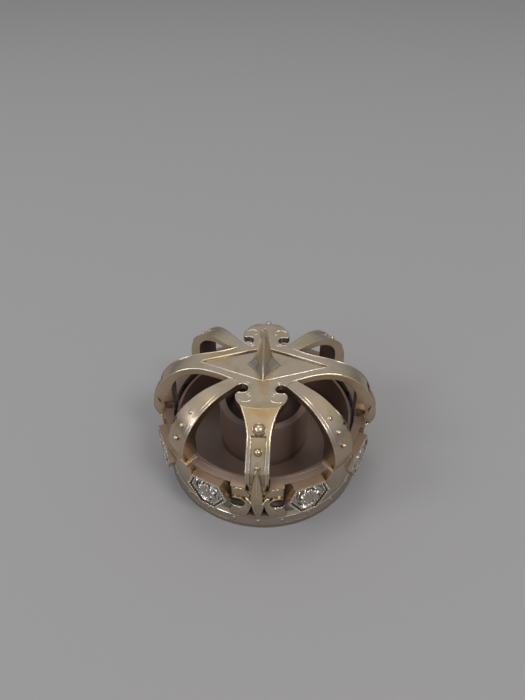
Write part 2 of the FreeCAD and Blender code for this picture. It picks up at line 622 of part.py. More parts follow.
# Cup: skirt, floor and tube in one moulding, with ribs under the floor
skirtOut = bore - size("fitGap")
skirtIn = skirtOut - size("skirtWall")
clear, floorLow = size("footClear"), size("floorLow")
floorTop = floorLow + size("floorThick")
tubeIn, tubeOut, tubeTop = size("tubeInner"), size("tubeOuter"), size("tubeTop")
hubOut = tubeOut + size("hubWall")
lipHigh, lipRadius = size("lipHigh"), size("lipRadius")
seatRadius = size("linerLip") + size("linerGap")
seatHigh = clear + size("linerLipThick")
cup = turned("CupTurned", (tubeIn, seatHigh), [
    (seatRadius, seatHigh), (seatRadius, clear), (hubOut, clear), (hubOut, floorLow),
    (skirtIn, floorLow), (skirtIn, clear), (lipRadius, clear), (lipRadius, lipHigh),
    (skirtOut, lipHigh), (skirtOut, size("skirtTop")), (skirtIn, size("skirtTop")),
    (skirtIn, floorTop), (tubeOut, floorTop), (tubeOut, tubeTop), (tubeIn, tubeTop),
    (tubeIn, seatHigh)])
ribs = []
ribWall, ribCount, ribLow = size("ribWall"), int(size("ribCount")), clear + 0.4
for i in range(ribCount):
    rib = doc.addObject("Part::Box", f"Rib{i}")
    rib.setExpression("Length", "Sizes.ribWall")
    rib.Width = skirtIn + sunk - hubOut + sunk
    rib.Height = floorLow + sunk - ribLow
    turn = Rotation(Vector(0, 0, 1), 360 / ribCount * (i + 0.5))
    rib.Placement = Placement(turn.multVec(Vector(-ribWall / 2, hubOut - sunk, ribLow)), turn)
    ribs.append(rib)
base = joined("MultiFuse", "BaseCup", [cup] + ribs)
base.Label = "base_cup"

# Liner: closed at its top, its lip seated in the cup's counterbore
linerOut = tubeIn - size("linerGap")
linerIn = linerOut - size("linerWall")
linerTop = size("linerTop")
roofLow = linerTop - size("linerRoof")
liner = turned("PumpLiner", (linerIn, clear), [
    (size("linerLip"), clear), (size("linerLip"), seatHigh), (linerOut, seatHigh),
    (linerOut, linerTop), (0, linerTop), (0, roofLow), (linerIn, roofLow), (linerIn, clear)])
liner.Label = "pump_liner"

doc.recompute()
for item in doc.Objects:
    if "Invalid" in item.State or "Error" in item.State:
        raise RuntimeError(f"{item.Name} is {item.State}")

os.makedirs("parts", exist_ok=True)
for node in (crown, base, liner):
    shape = node.Shape
    if shape.isNull() or not shape.isValid():
        raise RuntimeError(f"{node.Label} has no valid shape")
    print(node.Label, "solids", len(shape.Solids), "faces", len(shape.Faces),
          "volume", round(shape.Volume, 1))
    shape.exportStep(f"parts/{node.Label}.step")
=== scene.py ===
import math

import bmesh
import bpy
import numpy as np
from mathutils import Matrix, Vector


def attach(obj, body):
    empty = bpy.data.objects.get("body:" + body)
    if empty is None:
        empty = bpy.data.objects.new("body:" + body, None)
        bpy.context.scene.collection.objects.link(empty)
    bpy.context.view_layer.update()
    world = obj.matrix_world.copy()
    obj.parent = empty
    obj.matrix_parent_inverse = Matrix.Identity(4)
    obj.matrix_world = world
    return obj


# Crown-shaped bottle cap: a metallised crown moulding over a dark cup with a round tube.
# The moulding, the cup and the liner are the CAD nodes. This file gives them their finish
# and adds the fine moulded relief: ridges on the plate and the fleurs, the flare of the
# band, the straps of the collars and the medallions.

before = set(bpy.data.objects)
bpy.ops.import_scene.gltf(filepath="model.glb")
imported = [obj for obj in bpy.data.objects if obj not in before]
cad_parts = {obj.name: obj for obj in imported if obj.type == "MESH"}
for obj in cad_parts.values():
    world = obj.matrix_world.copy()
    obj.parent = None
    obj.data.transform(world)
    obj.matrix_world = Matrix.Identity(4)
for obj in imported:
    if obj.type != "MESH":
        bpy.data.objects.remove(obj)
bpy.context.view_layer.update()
mm = 0.001
print("frame loaded:", sorted(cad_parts))


def hexColour(text):
    # sRGB hex to the linear colour that the shaders take
    def channel(pair):
        s = int(pair, 16) / 255
        return s / 12.92 if s <= 0.04045 else ((s + 0.055) / 1.055) ** 2.4
    return tuple(channel(text[i:i + 2]) for i in (1, 3, 5)) + (1.0,)


def addNode(tree, kind, settings=None, links=None):
    node = tree.nodes.new("ShaderNode" + kind)
    for key, value in (settings or {}).items():
        if isinstance(key, str) and hasattr(node, key):
            setattr(node, key, value)
        else:
            node.inputs[key].default_value = value
    for key, source in (links or {}).items():
        tree.links.new(source, node.inputs[key])
    return node


def newMaterial(name):
    material = bpy.data.materials.new(name)
    material.use_nodes = True
    material.node_tree.nodes.clear()
    return material, material.node_tree


def place(name, data):
    obj = bpy.data.objects.new(name, data)
    bpy.context.scene.collection.objects.link(obj)
    return obj


def addRelief(name, data, material):
    # A mesh or curve that lies on the moulding and moves with it
    data.materials.append(material)
    piece = place(name, data)
    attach(piece, "root")


def reliefMesh(name, verts, faces, material, sharp=()):
    # Smooth mesh from points in metres, with flat shading on the faces named in sharp
    mesh = bpy.data.meshes.new(name)
    mesh.from_pydata(verts, [], faces)
    smooth = np.ones(len(faces), dtype=bool)
    smooth[list(sharp)] = False
    mesh.polygons.foreach_set("use_smooth", smooth)
    addRelief(name, mesh, material)


# Camera, at the photograph's place, fitted to the rings of the foot and the tube
camera = {
    "away": 83.317,              # mm from the crown's axis
    "height": 98.697,            # mm above the table
    "round": 3.2,                # degrees from the front arch towards the right
    "down": 39.487,              # degrees below level
    "pan": 0.23,                 # degrees
    "lens": 36.0 * 526 / 700,    # 526 px of focal length on a frame 700 px high
    "clip": (0.005, 20),         # metres
}


def placeCamera(c):
    data = bpy.data.cameras.new("camera")
    data.lens = c["lens"]
    data.clip_start, data.clip_end = c["clip"]
    obj = place("camera", data)
    turn = math.radians(c["round"])
    obj.location = (c["away"] * math.sin(turn) * mm, -c["away"] * math.cos(turn) * mm,
                    c["height"] * mm)
    obj.rotation_euler = (math.radians(90 - c["down"]), 0, turn + math.radians(c["pan"]))
    bpy.context.scene.camera = obj


placeCamera(camera)
bpy.context.scene.view_settings.view_transform = "Standard"
print("camera placed")

# Materials

metallised = {
    "gold": "#cab69a",        # champagne lacquer over vacuum-laid aluminium
    "roseReflection": "#cab49f",        # painted reflection: a pinker tint in random clouds
    "oliveReflection": "#bfaa82",       # painted reflection: a greener tint in random clouds
    "bare": "#63534c",        # uncoated plastic inside, which the vapour doesn't reach
    "paintedCornerShade": "#8c7a62",        # painted shade in corners and creases
    "paintedFootShade": "#a09281",        # painted shade: darker towards the foot, which reflects the shaded floor
    "footShadeFrom": 0.6, "footShadeTo": 5.5,       # mm above the table
    "shadeFrom": 22.2, "shadeTo": 20.9,   # mm from the axis: cut faces turn bare inwards
    "shadeTop": 13.6, "shadeEnd": 15.8,   # mm: only on the feet of the arches
    "ledge": "#8b7563",       # little metal reached the flat top of the band
    "ledgeAt": 14.1, "ledgeDepth": 0.4,   # mm above the table
    "roughness": 0.23, "bareRoughness": 0.42,
    "cloud": 5.0,             # mm, size of the lacquer's clouds
    "peel": 0.45,             # mm, orange peel of the lacquer
    "peelDepth": 0.05, "peelStrength": 0.06,
    "edge": 0.13,             # mm, radius that the mould leaves on every edge
    "cornerReach": 1.2,       # mm, how far from a corner the painted shade reaches
    "glossier": 0.05, "duller": 0.07,     # how far the clouds move the roughness
}


def metallisedPlastic(m):
    # Moulded ABS, metallised and lacquered from outside: satin metal with soft edges,
    # and the brown plastic showing where the coat doesn't reach. Painted shade darkens
    # its corners and its foot, and clouds of painted reflection tint it rose and olive
    material, tree = newMaterial("metallisedPlastic")
    spot = addNode(tree, "TexCoord")
    inMm = addNode(tree, "Mapping", {"Scale": (1000, 1000, 1000)},
                   {"Vector": spot.outputs["Object"]}).outputs["Vector"]
    level = addNode(tree, "VectorMath", {"operation": "MULTIPLY", 1: (1, 1, 0)},
                    {0: spot.outputs["Object"]}).outputs[0]
    outward = addNode(tree, "VectorMath", {"operation": "NORMALIZE"}, {0: level}).outputs[0]
    facingOut = addNode(tree, "VectorMath", {"operation": "DOT_PRODUCT"},
                        {0: outward, 1: spot.outputs["Normal"]}).outputs["Value"]
    split = addNode(tree, "SeparateXYZ", None, {0: spot.outputs["Normal"]})
    inside = addNode(tree, "MapRange", {"From Min": -0.55, "From Max": -0.8},
                     {"Value": facingOut}).outputs["Result"]
    under = addNode(tree, "MapRange", {"From Min": -0.45, "From Max": -0.7},
                    {"Value": split.outputs["Z"]}).outputs["Result"]
    axisDistance = addNode(tree, "VectorMath", {"operation": "LENGTH"}, {0: level})
    inMetres = axisDistance.outputs["Value"]
    deep = addNode(tree, "MapRange", {"From Min": m["shadeFrom"] * mm,
                                      "From Max": m["shadeTo"] * mm},
                   {"Value": inMetres}).outputs["Result"]
    tall = addNode(tree, "SeparateXYZ", None, {0: inMm}).outputs["Z"]
    low = addNode(tree, "MapRange", {"From Min": m["shadeEnd"], "From Max": m["shadeTop"]},
                  {"Value": tall}).outputs["Result"]
    cutFace = addNode(tree, "Math", {"operation": "MULTIPLY"}, {0: deep, 1: low}).outputs[0]
    facing = addNode(tree, "Math", {"operation": "MAXIMUM"}, {0: inside, 1: under}).outputs[0]
    bare = addNode(tree, "Math", {"operation": "MAXIMUM"}, {0: facing, 1: cutFace}).outputs[0]
    cloud = addNode(tree, "TexNoise", {"Scale": 1 / m["cloud"], "Detail": 3.0},
                    {"Vector": inMm}).outputs["Fac"]
    # Painted reflection: random clouds tint the coat towards rose and olive
    colour = addNode(tree, "ValToRGB", None, {"Fac": cloud})
    ramp = colour.color_ramp
    ramp.elements[0].position, ramp.elements[0].color = 0.32, hexColour(m["oliveReflection"])
    ramp.elements[1].position, ramp.elements[1].color = 0.68, hexColour(m["roseReflection"])
    ramp.elements.new(0.5).color = hexColour(m["gold"])
    # Painted shade: ambient occlusion darkens the coat in corners and creases
    corner = addNode(tree, "AmbientOcclusion", {"samples": 6, "Distance": m["cornerReach"] * mm})
    clear = addNode(tree, "MapRange", {"From Min": 0.3, "From Max": 0.85},
                    {"Value": corner.outputs["AO"]}).outputs["Result"]
    coat = addNode(tree, "Mix", {"data_type": "RGBA", 6: hexColour(m["paintedCornerShade"])},
                   {0: clear, 7: colour.outputs["Color"]}).outputs[2]
    # Painted shade: the coat darkens towards the foot
    footShaded = addNode(tree, "MapRange", {"From Min": m["footShadeTo"], "From Max": m["footShadeFrom"]},
                      {"Value": tall}).outputs["Result"]
    graded = addNode(tree, "Mix", {"data_type": "RGBA", 7: hexColour(m["paintedFootShade"])},
                     {0: footShaded, 6: coat}).outputs[2]
    near = addNode(tree, "Math", {"operation": "COMPARE", 1: m["ledgeAt"], 2: m["ledgeDepth"]},
                   {0: tall}).outputs[0]
    flat = addNode(tree, "MapRange", {"From Min": 0.7, "From Max": 0.95},
                   {"Value": split.outputs["Z"]}).outputs["Result"]
    ledge = addNode(tree, "Math", {"operation": "MULTIPLY"}, {0: near, 1: flat}).outputs[0]
    ledged = addNode(tree, "Mix", {"data_type": "RGBA", 7: hexColour(m["ledge"])},
                     {0: ledge, 6: graded}).outputs[2]
    shown = addNode(tree, "Mix", {"data_type": "RGBA", 7: hexColour(m["bare"])},
                    {0: bare, 6: ledged}).outputs[2]
    metallic = addNode(tree, "Math", {"operation": "SUBTRACT", 0: 1.0}, {1: bare}).outputs[0]
    grain = addNode(tree, "TexNoise", {"Scale": 1 / m["peel"], "Detail": 2.0}, {"Vector": inMm})
    clouded = addNode(tree, "MapRange", {"To Min": m["roughness"] - m["glossier"],
                                         "To Max": m["roughness"] + m["duller"]},
                      {"Value": cloud}).outputs["Result"]
    uncoated = addNode(tree, "Math", {"operation": "MAXIMUM"}, {0: bare, 1: ledge}).outputs[0]
    rough = addNode(tree, "Mix", {"data_type": "FLOAT", 3: m["bareRoughness"]},
                    {0: uncoated, 2: clouded}).outputs[0]
    soft = addNode(tree, "Bevel", {"samples": 6, "Radius": m["edge"] * mm}).outputs["Normal"]
    bump = addNode(tree, "Bump", {"Strength": m["peelStrength"], "Distance": m["peelDepth"] * mm},
                   {"Height": grain.outputs["Fac"], "Normal": soft}).outputs["Normal"]
    shader = addNode(tree, "BsdfPrincipled", None, {
        "Base Color": shown, "Metallic": metallic, "Roughness": rough, "Normal": bump})
    addNode(tree, "OutputMaterial", None, {"Surface": shader.outputs[0]})
    return material


# colour on crests, colour in corners, and how far in mm a corner's shade reaches
silvered = {"colour": "#d0c9bc", "shade": "#352d25", "roughness": 0.13, "reach": 0.7}
# on crests: lacquer worn thin, and partly a painted highlight
crestCoatAndHighlight = {"colour": "#d8cbb5", "shade": "#8f7f66", "roughness": 0.19, "reach": 0.3}


def thinLacquer(name, m):
    # The same metallised coat where the lacquer runs thin, on crests and fine relief: less yellow,
    # brighter and sharper; on the crests the brighter colour is partly a painted highlight
    material, tree = newMaterial(name)
    # Painted shade: ambient occlusion darkens the colour towards the shade colour in corners
    corner = addNode(tree, "AmbientOcclusion", {"samples": 6, "Distance": m["reach"] * mm})
    colour = addNode(tree, "Mix", {"data_type": "RGBA", 6: hexColour(m["shade"]),
                                   7: hexColour(m["colour"])},
                     {0: corner.outputs["AO"]}).outputs[2]
    shader = addNode(tree, "BsdfPrincipled", {"Metallic": 1.0, "Roughness": m["roughness"]},
                     {"Base Color": colour})
    addNode(tree, "OutputMaterial", None, {"Surface": shader.outputs[0]})
    return material


moulded = {
    "brown": "#82675a",      # brown polypropylene of the tube, drawn lighter: painted light against the shade it stands in
    "deep": "#654f44",       # and of the floor, drawn darker than the tube
    "deepFrom": 7.0, "deepTo": 5.2,       # mm above the table
    "dustAndSheen": "#8d7d70",       # metal vapour on what faces up, partly painted light on the upward faces
    "dustUp": 0.12, "dustRim": 0.5, "dustPatches": 0.6, "dustGain": 1.6,    # patches in a mm
    "rimFrom": 15.6, "rimTo": 16.9,       # mm, the tube's rim, where the veil is strongest: metal vapour and a painted highlight
    "roughness": 0.4, "ior": 1.49,
    "grain": 0.35, "grainDepth": 0.04,    # mm, moulding texture
    "outside": "#191615",    # the skirt's polished outer side, seen through the band's holes
    "skirtFrom": 19.2, "skirtTo": 19.6,   # mm from the axis
    "gloss": 0.12,
}


def mouldedBrown(m):
    # Moulded polypropylene, half matt, with a thin veil of metal vapour and painted light on its
    # upward faces and its rim
    material, tree = newMaterial("mouldedBrown")
    spot = addNode(tree, "TexCoord")
    inMm = addNode(tree, "Mapping", {"Scale": (1000, 1000, 1000)},
                   {"Vector": spot.outputs["Object"]}).outputs["Vector"]
    high = addNode(tree, "SeparateXYZ", None, {0: inMm}).outputs["Z"]
    up = addNode(tree, "SeparateXYZ", None, {0: spot.outputs["Normal"]}).outputs["Z"]
    # Metal vapour and painted light: lighter towards the rim and on faces turned up, in patches
    rim = addNode(tree, "MapRange", {"From Min": m["rimFrom"], "From Max": m["rimTo"],
                                     "To Max": m["dustRim"]},
                  {"Value": high}).outputs["Result"]
    settledAndLit = addNode(tree, "MapRange", {"From Min": 0.3, "From Max": 1.0, "To Max": m["dustUp"]},
                      {"Value": up}).outputs["Result"]
    speck = addNode(tree, "TexNoise", {"Scale": m["dustPatches"], "Detail": 6.0},
                    {"Vector": inMm})
    dustAndSheenVeil = addNode(tree, "Math", {"operation": "ADD"}, {0: rim, 1: settledAndLit}).outputs[0]
    patchy = addNode(tree, "Math", {"operation": "MULTIPLY"},
                     {0: dustAndSheenVeil, 1: speck.outputs["Fac"]}).outputs[0]
    strong = addNode(tree, "Math", {"operation": "MULTIPLY", 1: m["dustGain"],
                                    "use_clamp": True}, {0: patchy}).outputs[0]
    # Painted light: the tube is drawn lighter than the floor, which is the same plastic
    litTubeDarkFloor = addNode(tree, "MapRange", {"From Min": m["deepFrom"], "From Max": m["deepTo"]},
                   {"Value": high}).outputs["Result"]
    plastic = addNode(tree, "Mix", {"data_type": "RGBA", 6: hexColour(m["brown"]),
                                    7: hexColour(m["deep"])}, {0: litTubeDarkFloor}).outputs[2]
    colour = addNode(tree, "Mix", {"data_type": "RGBA", 7: hexColour(m["dustAndSheen"])},
                     {0: strong, 6: plastic}).outputs[2]
    level = addNode(tree, "VectorMath", {"operation": "MULTIPLY", 1: (1, 1, 0)}, {0: inMm})
    away = addNode(tree, "VectorMath", {"operation": "LENGTH"}, {0: level.outputs[0]})
    skirt = addNode(tree, "MapRange", {"From Min": m["skirtFrom"], "From Max": m["skirtTo"]},
                    {"Value": away.outputs["Value"]}).outputs["Result"]
    shown = addNode(tree, "Mix", {"data_type": "RGBA", 7: hexColour(m["outside"])},
                    {0: skirt, 6: colour}).outputs[2]
    rough = addNode(tree, "MapRange", {"To Min": m["roughness"], "To Max": m["gloss"]},
                    {"Value": skirt}).outputs["Result"]
    grain = addNode(tree, "TexNoise", {"Scale": 1 / m["grain"], "Detail": 2.0}, {"Vector": inMm})
    bump = addNode(tree, "Bump", {"Strength": 0.12, "Distance": m["grainDepth"] * mm},
                   {"Height": grain.outputs["Fac"]}).outputs["Normal"]
    shader = addNode(tree, "BsdfPrincipled", {"IOR": m["ior"]},
                     {"Base Color": shown, "Roughness": rough, "Normal": bump})
    addNode(tree, "OutputMaterial", None, {"Surface": shader.outputs[0]})
    return material


matt = {
    "brown": "#523a2d", "ior": 1.51, "smoothest": 0.55, "roughest": 0.7,
    "grains": 3.5,           # in a mm, from the mould's blasted core
    "grainDepth": 0.03,      # mm
}


def mattPolyethylene(m):
    # Dark brown polyethylene of the liner, matt all over from the blasted core
    material, tree = newMaterial("mattPolyethylene")
    spot = addNode(tree, "TexCoord").outputs["Object"]
    grain = addNode(tree, "TexNoise", {"Scale": m["grains"] / mm, "Detail": 3.0},
                    {"Vector": spot})
    bump = addNode(tree, "Bump", {"Strength": 0.2, "Distance": m["grainDepth"] * mm},
                   {"Height": grain.outputs["Fac"]}).outputs["Normal"]
    rough = addNode(tree, "MapRange", {"To Min": m["smoothest"], "To Max": m["roughest"]},
                    {"Value": grain.outputs["Fac"]}).outputs["Result"]
    shader = addNode(tree, "BsdfPrincipled", {"Base Color": hexColour(m["brown"]),
                                              "IOR": m["ior"]},
                     {"Roughness": rough, "Normal": bump})
    addNode(tree, "OutputMaterial", None, {"Surface": shader.outputs[0]})
    return material


def dress(node, material):
    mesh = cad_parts[node].data
    if not mesh.materials:
        mesh.materials.append(material)
    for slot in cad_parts[node].material_slots:
        slot.material = material


gold = metallisedPlastic(metallised)
silver = thinLacquer("silveredRelief", silvered)
# Crest ridges, spire skin and cove: lighter than the gold, partly a painted highlight
bright = thinLacquer("crestCoatAndPaintedHighlight", crestCoatAndHighlight)
dress("crown_shell", gold)
dress("base_cup", mouldedBrown(moulded))
dress("pump_liner", mattPolyethylene(matt))
print("materials made")

# Shape of the moulding that the relief lies on, in mm as in the CAD model
shell = {
    "plate": 26.4,                       # height of the flat crown
    "shoulderFrom": 12.45, "reach": 11.0, "waist": 16.9, "rise": 9.5,
    "frontArc": ((13.2, 26.4), (18.2, 23.2), (22.9, 18.9)),
    "fleurFoot": (21.65, 2.9), "fleurTop": (22.6, 14.0), "collarProud": 0.3,
    "bellyArcs": (((22.2, 9.1), (24.35, 11.55), (24.8, 14.0)),
                  ((24.8, 14.0), (23.89, 18.07), (22.2, 21.4))),
    "blockAngle": 26.0, "blockFace": 23.4, "fieldFace": 22.95, "blockMid": 10.2,
}
quarterTurns = (0, 90, 180, 270)


def circleThrough(a, b, c):
    ax, ay, bx, by, cx, cy = *a, *b, *c
    d = 2 * (ax * (by - cy) + bx * (cy - ay) + cx * (ay - by))
    sa, sb, sc = ax ** 2 + ay ** 2, bx ** 2 + by ** 2, cx ** 2 + cy ** 2
    x = (sa * (by - cy) + sb * (cy - ay) + sc * (ay - by)) / d
    y = (sa * (cx - bx) + sb * (ax - cx) + sc * (bx - ax)) / d
    return x, y, math.hypot(ax - x, ay - y)


def onShoulder(radius):
    # Height of the side and diagonal arches at a distance from the axis
    past = (radius - shell["shoulderFrom"]) / shell["reach"]
    if past <= 0:
        return shell["plate"]
    return shell["waist"] + shell["rise"] * math.sqrt(max(0.0, 1 - past ** 2))


def onFront(radius):
    x, y, size = circleThrough(*shell["frontArc"])
    if radius <= shell["frontArc"][0][0]:
        return shell["plate"]
    return y + math.sqrt(size ** 2 - (radius - x) ** 2)


def turnAbout(point, angle):
    # Angle 0 faces the front, positive towards the right
    c, s = math.cos(math.radians(angle)), math.sin(math.radians(angle))
    return Vector((c * point[0] - s * point[1], s * point[0] + c * point[1], point[2]))


def smoothPath(points, steps=8):
    # Catmull-Rom curve through the points
    p = [Vector(q) for q in points]
    p = [2 * p[0] - p[1]] + p + [2 * p[-1] - p[-2]]
    path = []
    for i in range(1, len(p) - 2):
        for k in range(steps):
            t = k / steps
            path.append(0.5 * (2 * p[i] + (p[i + 1] - p[i - 1]) * t
                               + (2 * p[i - 1] - 5 * p[i] + 4 * p[i + 1] - p[i + 2]) * t ** 2
                               + (3 * p[i] - p[i - 1] - 3 * p[i + 1] + p[i + 2]) * t ** 3))
    return path + [p[-2]]


def ridges(name, lines, material):
    # Round ridges half sunk in: a line is its points in mm, its radius and how it thins out
    curve = bpy.data.curves.new(name, "CURVE")
    curve.dimensions, curve.bevel_depth, curve.bevel_resolution = "3D", mm, 2
    curve.use_fill_caps = True
    for points, radius, thinning in lines:
        spline = curve.splines.new("POLY")
        spline.points.add(len(points) - 1)
        for i, point in enumerate(points):
            spline.points[i].co = (*(Vector(point) * mm), 1)
            part = i / (len(points) - 1)
            spline.points[i].radius = radius * (1 - thinning * abs(2 * part - 1) ** 3)
    addRelief(name, curve, material)


# Ridges on the plate: curls round the notches and hooks, and the star's outline
plateRelief = {
    "notch": (3.85, -7.65, 1.15),      # middle and radius of a round notch
    "rim": [(4.12, -11.9), (4.6, -11.3), (4.84, -10.6), (4.93, -9.9), (4.95, -9.5),
            (4.8, -9.1)],
    "corner": [(4.82, -6.5), (5.15, -6.1)],
    "rimOut": 0.2, "rimTurn": (-62, -312), "rimRadius": 0.15,
    "curlFar": (0.85, 0.14),           # from the notch's edge, radius of the ridge
    "curlTurn": (95, 240),             # degrees
    "hookCurl": [(4.75, -10.2), (4.35, -11.0), (3.3, -11.45), (2.15, -11.1), (1.7, -10.35),
                 (2.1, -9.75), (2.7, -9.95)],
    "hookRadius": 0.16,
    "star": ((0.0, 5.3), (5.3, 3.35), (13.5, 0.1)),   # one hollow side of the sunk star
    "starRadius": 0.15,
    "sink": 0.05, "thinning": 0.6,
}


def arc(cx, cy, radius, start, end, count=18):
    return [(cx + radius * math.cos(math.radians(start + (end - start) * i / count)),
             cy + radius * math.sin(math.radians(start + (end - start) * i / count)))
            for i in range(count + 1)]


def arcThrough(a, b, c, count=60):
    cx, cy, radius = circleThrough(a, b, c)
    start, end = [math.degrees(math.atan2(p[1] - cy, p[0] - cx)) for p in (a, c)]
    if end - start > 180:
        end -= 360
    if start - end > 180:
        end += 360
    return arc(cx, cy, radius, start, end, count)


def plateRidges(p):
    lines = []
    cx, cy, hole = p["notch"]
    rim = [(v.x, v.y) for v in smoothPath([(*q, 0) for q in p["rim"]], 4)]
    rim += arc(cx, cy, hole + p["rimOut"], *p["rimTurn"], 30) + p["corner"]
    far = arc(cx, cy, hole + p["curlFar"][0], *p["curlTurn"])
    hook = [(v.x, v.y) for v in smoothPath([(*q, 0) for q in p["hookCurl"]])]
    star = arcThrough(*p["star"])
    for across in (1, -1):
        for along in (1, -1):
            for path, radius in ((rim, p["rimRadius"]), (far, p["curlFar"][1]),
                                 (hook, p["hookRadius"]), (star, p["starRadius"])):
                points = [(x * across, y * along, onShoulder(math.hypot(x, y)) - p["sink"])
                          for x, y in path]
                lines.append((points, radius, p["thinning"]))
    ridges("plateRidges", lines, bright)


plateRidges(plateRelief)

# Rims of the side arms, borders of the diagonal arches and of the front and back ones
rims = {
    "side": ((5.3, 5.95), (10.18, 3.44), (17.5, 2.2)),  # distance and half width of an arm
    "sideFrom": 7.9, "plateTo": 12.3,
    "foot": [(0.6, 0.144), (1.2, 0.288), (1.8, 0.432)], # down from the waist, and inwards
    "diagonal": [(4.0, 1.0), (14.76, 1.95), (25.45, 3.0)],
    "diagonalAngle": 46.0, "diagonalFrom": 8.8, "diagonalSink": 0.08,
    "front": ((11.9, 4.3), (14.98, 2.86), (17.5, 2.3)),
    "frontFrom": (12.0, 12.6), "frontFoot": [(23.3, 17.6), (23.4, 16.9), (23.2, 15.8)],
    "channel": (1.5, 18.2),                             # half width and start of the channel
    "inset": 0.2, "second": 0.86,                       # mm from the edge to the two lines
    "sideRadius": 0.17, "radius": 0.12, "fine": 0.1, "sink": 0.03,
}


def armPath(widths, start, inset, side, profile, turn):
    # Along an arm's edge over the shoulder and down its upright foot
    reach, half = [r for r, _ in widths], [w for _, w in widths]
    path = []
    for r, z in [spot for spot in profile if spot[0] >= start]:
        along = r
        for _ in range(3):      # the distance along the arm that lies r from the axis
            offset = float(np.interp(along, reach, half)) - inset
            along = math.sqrt(r ** 2 - offset ** 2)
        path.append(turnAbout((side * offset, -along, z), turn))
    return path


def armRims(a):
    outermost = shell["shoulderFrom"] + shell["reach"]
    over = [shell["shoulderFrom"] + shell["reach"] * math.sin(math.radians(t))
            for t in range(0, 91, 2)]
    shoulderLine = [(r, shell["plate"] - a["sink"])
                    for r in np.linspace(a["sideFrom"], a["plateTo"], 30)]
    shoulderLine += [(r, onShoulder(r) - a["sink"]) for r in over]
    shoulderLine += [(outermost - inwards, shell["waist"] - down) for down, inwards in a["foot"]]
    frontLine = [(r, shell["plate"]) for r in a["frontFrom"]]
    frontLine += [(r, onFront(r) - a["sink"])
                  for r in np.linspace(shell["frontArc"][0][0], shell["frontArc"][2][0], 40)]
    frontLine += a["frontFoot"]
    diagonalLine = [(r, z - a["diagonalSink"]) for r, z in shoulderLine]
    lines = []
    for side in (1, -1):
        for turn in (90, 270):
            path = armPath(arcThrough(*a["side"]), a["sideFrom"], a["inset"], side,
                           shoulderLine, turn)
            lines.append((path, a["sideRadius"], 0.2))
        for turn in (0, 180):
            path = armPath(arcThrough(*a["front"]), a["frontFrom"][0], a["inset"], side,
                           frontLine, turn)
            lines.append((path, a["radius"], 0.2))
            half, start = a["channel"]
            lines.append((armPath([(0, half), (30, half)], start, 0, side, frontLine, turn),
                          a["fine"], 0.4))
    for turn, side in ((a["diagonalAngle"], -1), (180 - a["diagonalAngle"], 1),
                       (180 + a["diagonalAngle"], -1), (-a["diagonalAngle"], 1)):
        for inset in (a["inset"], a["second"]):
            path = armPath(a["diagonal"], a["diagonalFrom"], inset, side, diagonalLine, turn)
            lines.append((path, a["radius"], 0.4))
    ridges("armRims", lines, bright)


armRims(rims)

# Spire: a smooth skin over the CAD spire with a crest on each edge, and rings of the band
spire = {
    # height and half extent, towards the front and towards the sides
    "front": [(26.0, 5.3), (26.5, 4.75), (27.4, 3.8), (28.3, 3.05), (30.0, 2.15), (32.0, 1.55),
              (34.0, 0.97), (35.2, 0.6)],
    "side": [(26.0, 3.65), (26.5, 3.15), (27.4, 2.42), (28.3, 1.9), (30.0, 1.4), (32.0, 1.1),
             (34.0, 0.8), (35.2, 0.58)],
    "hollow": 0.8,                      # power of the star's hollow sides; 1 is a diamond
    "rows": 60, "around": 64, "gather": 1.3,   # rows lie closer at the foot
    "crest": 0.27, "sideCrest": 0.13, "sink": 0.12, "crestTop": 35.1,
    "rings": [(20.3, 14.22, 0.13), (21.86, 1.05, 0.13)],
}


def readOff(points, height):
    path = smoothPath([(z, v, 0) for z, v in points], 6)
    return float(np.interp(height, [p.x for p in path], [p.y for p in path]))


def spireSkin(s):
    low, high = s["front"][0][0], s["front"][-1][0]
    verts, faces, n = [], [], s["around"]
    for row in range(s["rows"] + 1):
        z = low + (high - low) * (row / s["rows"]) ** s["gather"]
        front, side = readOff(s["front"], z), readOff(s["side"], z)
        for k in range(n):
            c, d = math.cos(2 * math.pi * k / n), math.sin(2 * math.pi * k / n)
            size = (abs(c) ** s["hollow"] + abs(d) ** s["hollow"]) ** (-1 / s["hollow"])
            verts.append((side * size * c * mm, front * size * d * mm, z * mm))
            if row:
                a, b = (row - 1) * n + k, (row - 1) * n + (k + 1) % n
                faces.append((a, b, b + n, a + n))
    faces.append(tuple(range(s["rows"] * n, (s["rows"] + 1) * n)))
    reliefMesh("spireSkin", verts, faces, bright, sharp=[len(faces) - 1])


def spireCrests(s):
    lines = []
    for turn in quarterTurns:
        word, radius = ("front", s["crest"]) if turn in (0, 180) else ("side", s["sideCrest"])
        path = [(0, -(readOff(s[word], z) - s["sink"]), z)
                for z in np.linspace(s[word][0][0] + 0.1, s["crestTop"], 40)]
        lines.append(([turnAbout(p, turn) for p in path], radius, 0.3))
    ridges("spireCrests", lines, bright)


def bandRings(s):
    lines = [([(r * math.cos(math.radians(t)), r * math.sin(math.radians(t)), z)
               for t in range(0, 361, 3)], radius, 0) for r, z, radius in s["rings"]]
    ridges("bandRings", lines, gold)


# The band flares into a lip over the foot, low under the fleurs' tails and higher between them
cove = {
    "band": 21.2, "lip": 21.72, "lipHeight": 2.78, "under": (21.4, 2.6),   # mm
    "rise": 2.5, "underTails": 0.25,     # mm, and share of it under the tails
    "tailsTo": 9.5, "fullFrom": 14.0,    # degrees from a fleur's middle
    "sweep": 2.4, "fall": 1.5,           # powers that shape the hollow
    "rows": 14, "around": 360,
}


